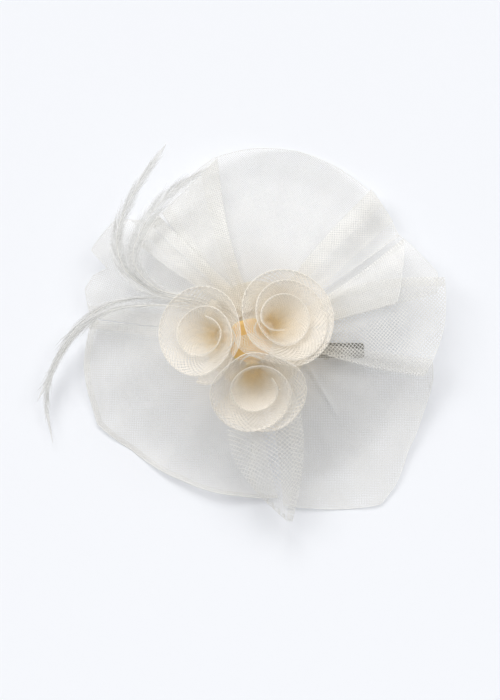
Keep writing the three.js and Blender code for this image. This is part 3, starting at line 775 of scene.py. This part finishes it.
# ---------- leaf ----------
def leaf_panel(left, right, lift, columns, rows=80):
    """A layer of the leaf and its flat coordinates.

    left and right give its edges as shares of the leaf's half width, from the share v of its length.
    """
    u, v = np.meshgrid(np.linspace(0, 1, columns), np.linspace(0, 1, rows), indexing="ij")
    start = np.array(LEAF_START)
    run = np.array(LEAF_TIP) - start
    across = np.array([run[1], -run[0]]) / np.hypot(*run)
    place = mix(left(v), right(v), u)
    half = LEAF_HALF * np.sin(math.pi * mix(0.3, 0.985, v))
    sideways = -place * half + LEAF_BOW * np.sin(math.pi * v)
    x = start[0] + run[0] * v + across[0] * sideways
    y = start[1] + run[1] * v + across[1] * sideways
    arch = LEAF_ARCH * np.cos(place * math.pi / 2) * np.sin(math.pi * mix(0.1, 0.9, v))
    ripple = 0.35 * wander(x, y, 22, 31)
    z = LEAF_TOP - LEAF_DROP * smooth((v - 0.25) / 0.75) + arch + lift + ripple
    flat = np.stack([place * 15 + 9 * v**2, v * 66 - 3 * place**2], axis=-1)
    return np.stack([x, y, z], axis=-1), flat


def add_leaf():
    """A strip folded to a point: a back layer, and a front panel folded over it."""
    back, back_flat = leaf_panel(lambda v: -1 + 0 * v, lambda v: mix(-0.1, -0.9, v), -0.6, 30)
    piece = grid_piece("leaf_back", back, back_flat, LOOKS["leaf"])
    keep_on(piece, "crin_leaf", slot="ivory_net")

    def crossing(v):
        return mix(-0.35, -1, smooth((v - 0.3) / 0.45))

    front, front_flat = leaf_panel(crossing, lambda v: 1 + 0 * v, 0.3, 40)
    front, front_flat = fold_edges(front, front_flat, first=((0.4, 0.4), (4, 2), -1),
                                   last=((0.4, 0.4), (9, 4), 1))
    piece = grid_piece("leaf_front", front, front_flat, LOOKS["leaf"])
    keep_on(piece, slot="ivory_net")


# ---------- feathers ----------
def between(start, end, first, second, place):
    """Goes from first at the place start to second at the place end."""
    return ((end - place) * first + (place - start) * second) / (end - start)


def catmull(points, count):
    """A centripetal Catmull-Rom curve through the points, sampled at even lengths."""
    points = np.asarray(points, float)
    before = 2 * points[0] - points[1]
    after = 2 * points[-1] - points[-2]
    knots = np.concatenate([[before], points, [after]])
    dense = []
    for i in range(1, len(knots) - 2):
        p = knots[i - 1 : i + 3]
        t = np.concatenate([[0], np.cumsum(np.linalg.norm(np.diff(p, axis=0), axis=1) ** 0.5)])
        for place in np.linspace(t[1], t[2], 24, endpoint=i == len(knots) - 3):
            a = [between(t[k], t[k + 1], p[k], p[k + 1], place) for k in range(3)]
            b = [between(t[k], t[k + 2], a[k], a[k + 1], place) for k in range(2)]
            dense.append(between(t[1], t[2], b[0], b[1], place))
    dense = np.array(dense)
    far = np.concatenate([[0], np.cumsum(np.linalg.norm(np.diff(dense, axis=0), axis=1))])
    even = np.linspace(0, far[-1], count)
    return np.stack([np.interp(even, far, dense[:, axis]) for axis in range(3)], axis=-1)


def quill_route(plume, place, count):
    """The quill's curve: out of its place in the bound row, then along the feather's own route."""
    x, y, z = QUILLS_FROM
    lane = ((len(FEATHERS) - 1) / 2 - place) * QUILL_STEP
    x += QUILLS_ACROSS[0] * lane
    y += QUILLS_ACROSS[1] * lane
    return catmull([(x, y, z), (x - 8, y + 4, z + 0.6), *plume["route"]], count)


def vane_width(plume, share):
    """Half width of the vane at a share of the feather's length."""
    places, widths = zip(*plume["vane"])
    return np.interp(share, places, widths)


def add_feather(plume, place):
    """A quill, a thin vane on both sides of it, and loose barbs that stand out of the vane."""
    route = quill_route(plume, place, 200)
    length = float(np.linalg.norm(np.diff(route, axis=0), axis=1).sum())
    ahead = unit(np.gradient(route, axis=0))
    side = unit(np.cross((0, 0, 1.0), ahead))
    up = np.cross(ahead, side)
    thin = np.linspace(0.22, 0.05, len(route))
    keep_on(mesh_piece(plume["name"] + "_quill", *tube(route, thin, 6), QUILL), slot="feather")
    course = (route, ahead, side, up, length)
    add_vane(plume, course)
    add_barbs(plume, course, 11 + place)


def add_vane(plume, course):
    """A thin wavy ribbon along both sides of the quill."""
    route, _, side, up, length = course
    share = np.linspace(0, 1, len(route))
    across = np.linspace(-1, 1, 9)
    wide = vane_width(plume, share)[:, None] * across
    wave = 0.3 * np.sin(share * length * 0.3)[:, None] * across**2
    high = wave - 0.3 * across**2
    vane = route[:, None] + side[:, None] * wide[..., None] + up[:, None] * high[..., None]
    flat = np.stack(np.broadcast_arrays((share * length)[:, None], VANE_UV * across), axis=-1)
    keep_on(grid_piece(plume["name"] + "_vane", vane, flat, VANE), plume["name"], slot="feather")


def add_barbs(plume, course, seed):
    """Clumps of loose hairs, on alternate sides of the quill."""
    route, *_, length = course
    local = np.random.default_rng(seed)
    points = []
    faces = []
    clumps = int(length * CLUMPS_PER_MM)
    for clump in range(clumps):
        at = mix(0.22, 0.92, (clump + local.uniform(0, 1)) / clumps)
        hand = 1 if clump % 2 else -1
        reach = vane_width(plume, at) + plume["fluff"] * local.uniform(-1, 1)
        long = local.uniform(10, 20) * mix(1, 0.35, smooth((at - 0.7) / 0.22))
        lift = local.uniform(-0.6, 0.9)
        for _ in range(CLUMP_HAIRS):
            start = at + local.uniform(-0.008, 0.008)
            out = reach * local.uniform(0.6, 1.05)
            add_barb(points, faces, start * (len(route) - 1), hand * out, long * local.uniform(0.7, 1.1),
                     lift + local.uniform(-0.2, 0.2), course)
    keep_on(mesh_piece(plume["name"] + "_barbs", points, faces, FEATHER), slot="feather")


def add_barb(points, faces, index, out, long, lift, course):
    """One tapered hair that leaves the quill at an index of its course, and leans along it."""
    route, ahead, side, up, length = course
    last = len(route) - 1
    spine = []
    for step in np.linspace(0, 1, 6):
        wanted = index + step * long / length * last
        held = min(max(wanted, 0), last - 0.001)
        low = int(held)
        base = mix(route[low], route[low + 1], held - low) + ahead[low] * (wanted - held) / last * length
        spine.append(base + side[low] * out * step**0.8 + up[low] * lift * step)
    spine = np.array(spine)
    low = min(max(int(index), 0), last)
    normal = unit(np.cross(unit(np.gradient(spine, axis=0)), up[low]))
    first = len(points)
    for centre, sideways, half in zip(spine, normal, (0.05, 0.07, 0.06, 0.05, 0.04, 0.015)):
        points.append(centre + sideways * half)
        points.append(centre - sideways * half)
    for step in range(len(spine) - 1):
        a = first + 2 * step
        faces.append((a, a + 1, a + 3, a + 2))


def add_feather_wrap():
    """Thread wound round the five quills."""
    turns = 9
    angle = np.linspace(0, 2 * math.pi * turns, 30 * turns)
    along = np.linspace(-1.5, 1.5, len(angle))
    x = 5.0 * np.cos(angle)
    z = 1.3 * np.sin(angle)
    turn = math.atan2(QUILLS_ACROSS[1], QUILLS_ACROSS[0])
    route = np.stack([
        QUILLS_FROM[0] - 4 + x * math.cos(turn) - along * math.sin(turn),
        QUILLS_FROM[1] + 2 + x * math.sin(turn) + along * math.cos(turn),
        QUILLS_FROM[2] + 0.3 + z,
    ], axis=-1)
    points, faces = tube(route, 0.2)
    keep_on(mesh_piece("feather_wrap", points, faces, THREAD), "feather_binding", slot="thread")


# ---------- felt, glue and thread ----------
def add_felt_disc(name, radius, low, high, seed, node_name):
    """A cut felt disc with soft, slightly uneven edges."""
    edge = (high - low) / 2
    profile = [(0.01, low)]
    for share in np.linspace(0.1, 1, 14):
        profile.append((radius * share - (edge if share == 1 else 0), low))
    for angle in np.radians([-60, -30, 0, 30, 60]):
        profile.append((radius - edge + edge * math.cos(angle), low + edge + edge * math.sin(angle)))
    for share in np.linspace(1, 0.1, 14):
        profile.append((radius * share - (edge if share == 1 else 0), high))
    profile.append((0.01, high))
    points, faces = lathe(profile, 120)
    around = np.arctan2(points[:, 1], points[:, 0])
    reach = np.hypot(points[:, 0], points[:, 1])
    fuzz = 0.18 * wander(around * 26, points[:, 2] * 3, 2.2, seed) * smooth((reach - radius + 3) / 3)
    points[:, :2] *= (1 + fuzz / np.maximum(reach, 1))[:, None]
    points[:, 2] += 0.07 * wander(points[:, 0], points[:, 1], 3, seed + 1)
    piece = mesh_piece(name, points, faces, FELT)
    keep_on(piece, node_name, slot="felt")


def add_felt_stitches():
    """Blanket stitches that hold the backing to the base, and the thread that runs round their ends."""
    parts = []
    for k in range(STITCH_COUNT):
        angle = 2 * math.pi * k / STITCH_COUNT + 0.02 * math.sin(k * 2.3)
        inner = BACKING_R - 2.6 + 0.3 * math.sin(k * 1.7)
        line = [(inner, 0.0), (inner + 1, -0.14), (BACKING_R - 0.4, -0.14), (BACKING_R + 0.25, 0.3),
                (BACKING_R + 0.3, 1.1), (BACKING_R + 0.1, 1.5)]
        route = [(r * math.cos(angle), r * math.sin(angle), z) for r, z in line]
        parts.append(tube(route, STITCH_R, 5))
    around = np.linspace(0, 2 * math.pi, 240)
    rim = BACKING_R + 0.32 + 0.06 * np.sin(around * STITCH_COUNT)
    parts.append(tube(ring_route(rim, 0.75, around), STITCH_R, 5))
    points, faces = joined(parts)
    keep_on(mesh_piece("felt_stitches", points, faces, THREAD), slot="thread")


def add_gather_stitch():
    """The running stitch that gathers the nets."""
    around = np.linspace(0, 2 * math.pi, 480)
    radius = GATHER_R - 1 + 0.2 * np.sin(around * 5)
    points, faces = tube(ring_route(radius, NET_Z + 0.45 * np.sin(around * 24), around), 0.16, 6)
    keep_on(mesh_piece("gather_stitch", points, faces, THREAD), "gather_thread", slot="thread")


def add_glue():
    """Set hot glue: a stem through the gathers and a lumpy cap with drips that the roses stand on."""
    foot = FELT_TOP + 0.3
    top = ROSE_Z - 0.3
    profile = [(0.01, foot), (3.2, foot), (4.4, foot + 0.7), (4.1, top - 2.2), (5.4, top - 1.3),
               (7.5, top - 1.15), (9.5, top - 1.0), (10.6, top - 0.5), (10, top - 0.1), (8, top),
               (5, top), (0.01, top)]
    points, faces = lathe(profile, 72)
    reach = np.hypot(points[:, 0], points[:, 1])
    lump = 0.045 * wander(points[:, 0], points[:, 1], 9, 5) * smooth((reach - 4) / 8)
    points[:, :2] *= (1 + lump)[:, None]
    points[:, 2] += 0.25 * wander(points[:, 0], points[:, 1], 6, 6) * smooth((reach - 3) / 8)
    points += np.array([CLUSTER[0] + 1, CLUSTER[1], 0])
    keep_on(mesh_piece("glue_lump", points, faces, GLUE), "glue_pad", slot="glue")


# ---------- clip ----------
def finish_clip():
    """The CAD's clip keeps its shape and gets the look of worn metal."""
    looks = dict(clip_top_plate=STEEL, clip_lower_jaw=STEEL, clip_hinge_pin=WIRE)
    for name, material in looks.items():
        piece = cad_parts[name]
        piece.data.materials.clear()
        piece.data.materials.append(material)


def add_spring():
    """A torsion spring whose upper leg stays under the plate while its lower leg rides on the jaw's lever."""
    wound = 2 * math.pi * COIL_TURNS + math.pi - LEVER_SLOPE
    angle = math.pi / 2 + wound * np.linspace(1, 0, 160)
    aside = np.linspace(-COIL_HALF, COIL_HALF, len(angle))
    coil = np.stack([COIL_R * np.cos(angle), aside, COIL_R * np.sin(angle)], axis=-1)
    low_end = coil[0] + SPRING_LEG * np.array([math.cos(LEVER_SLOPE), 0, -math.sin(LEVER_SLOPE)])
    high_end = coil[-1] + SPRING_LEG * np.array([1, 0, 0])
    points, faces = tube(HINGE + np.concatenate([[low_end], coil, [high_end]]), WIRE_R, 10)
    spring = mesh_piece("clip_spring_wire", points, faces, WIRE)
    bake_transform(spring)
    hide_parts("clip_spring")


# ---------- studio ----------
def add_studio():
    """A white table that curves up far away, under a soft sky and three large lamps."""
    paper, _, inputs = shader("paper", Roughness=0.9, Specular_IOR_Level=0.1)
    inputs["Base Color"].default_value = (0.885, 0.9, 0.935, 1)
    sweep = [(0.01, 0), (6000, 0), (6500, 100), (6900, 450), (7200, 1250)]
    points, faces = lathe([(radius, TABLE_Z + height) for radius, height in sweep], 96)
    mesh_piece("floor", points, faces, paper)

    world = bpy.data.worlds.new("studio")
    world.use_nodes = True
    world.node_tree.nodes["Background"].inputs["Color"].default_value = (1, 1, 1, 1)
    world.node_tree.nodes["Background"].inputs["Strength"].default_value = 0.4
    bpy.context.scene.world = world

    add_sun("softbox_top", 1.37, (0.2, -1.05, -1.0))
    add_sun("softbox_right", 0.62, (-0.7, -0.6, -1.0))
    add_sun("softbox_left", 0.87, (0.9, -0.5, -1.0))


def add_sun(name, strength, aim):
    lamp = bpy.data.lights.new(name, "SUN")
    lamp.energy = strength
    lamp.angle = math.radians(28)
    light = bpy.data.objects.new(name, lamp)
    light.rotation_mode = "QUATERNION"
    light.rotation_quaternion = Vector(aim).to_track_quat("-Z", "Y")
    bpy.context.scene.collection.objects.link(light)


def add_camera():
    """Straight above, with a long lens, over the middle of the headpiece."""
    height = 1.2
    covered = 0.336
    data = bpy.data.cameras.new("camera")
    data.sensor_width = 36
    data.lens = 36 * height / covered
    camera = bpy.data.objects.new("camera", data)
    camera.location = (-3.84 * MM, -7.2 * MM, height)
    bpy.context.scene.collection.objects.link(camera)
    bpy.context.scene.camera = camera


# ---------- the whole model ----------
add_felt_disc("felt_cloth", FELT_R, 1.5, FELT_TOP, 21, "felt_base")
add_felt_disc("backing_cloth", BACKING_R, 0.05, BACKING_T, 23, "felt_backing")
hems = [add_net(net) for net in NETS]
keep_on(mesh_piece("net_edge_threads", *joined(hems), EDGE), slot="ivory_net")
rims = [add_rose(rose, 40 + 3 * index) for index, rose in enumerate(ROSES)]
keep_on(mesh_piece("rose_edge_threads", *joined(rims), ROSE_EDGE), slot="rose_net")
add_leaf()
for index, plume in enumerate(FEATHERS):
    add_feather(plume, index)
add_feather_wrap()
add_felt_stitches()
add_gather_stitch()
add_glue()
finish_clip()
add_spring()
add_studio()
add_camera()

scene = bpy.context.scene
scene.view_settings.view_transform = "Standard"
scene.cycles.transparent_max_bounces = 32
scene.cycles.diffuse_bounces = 12
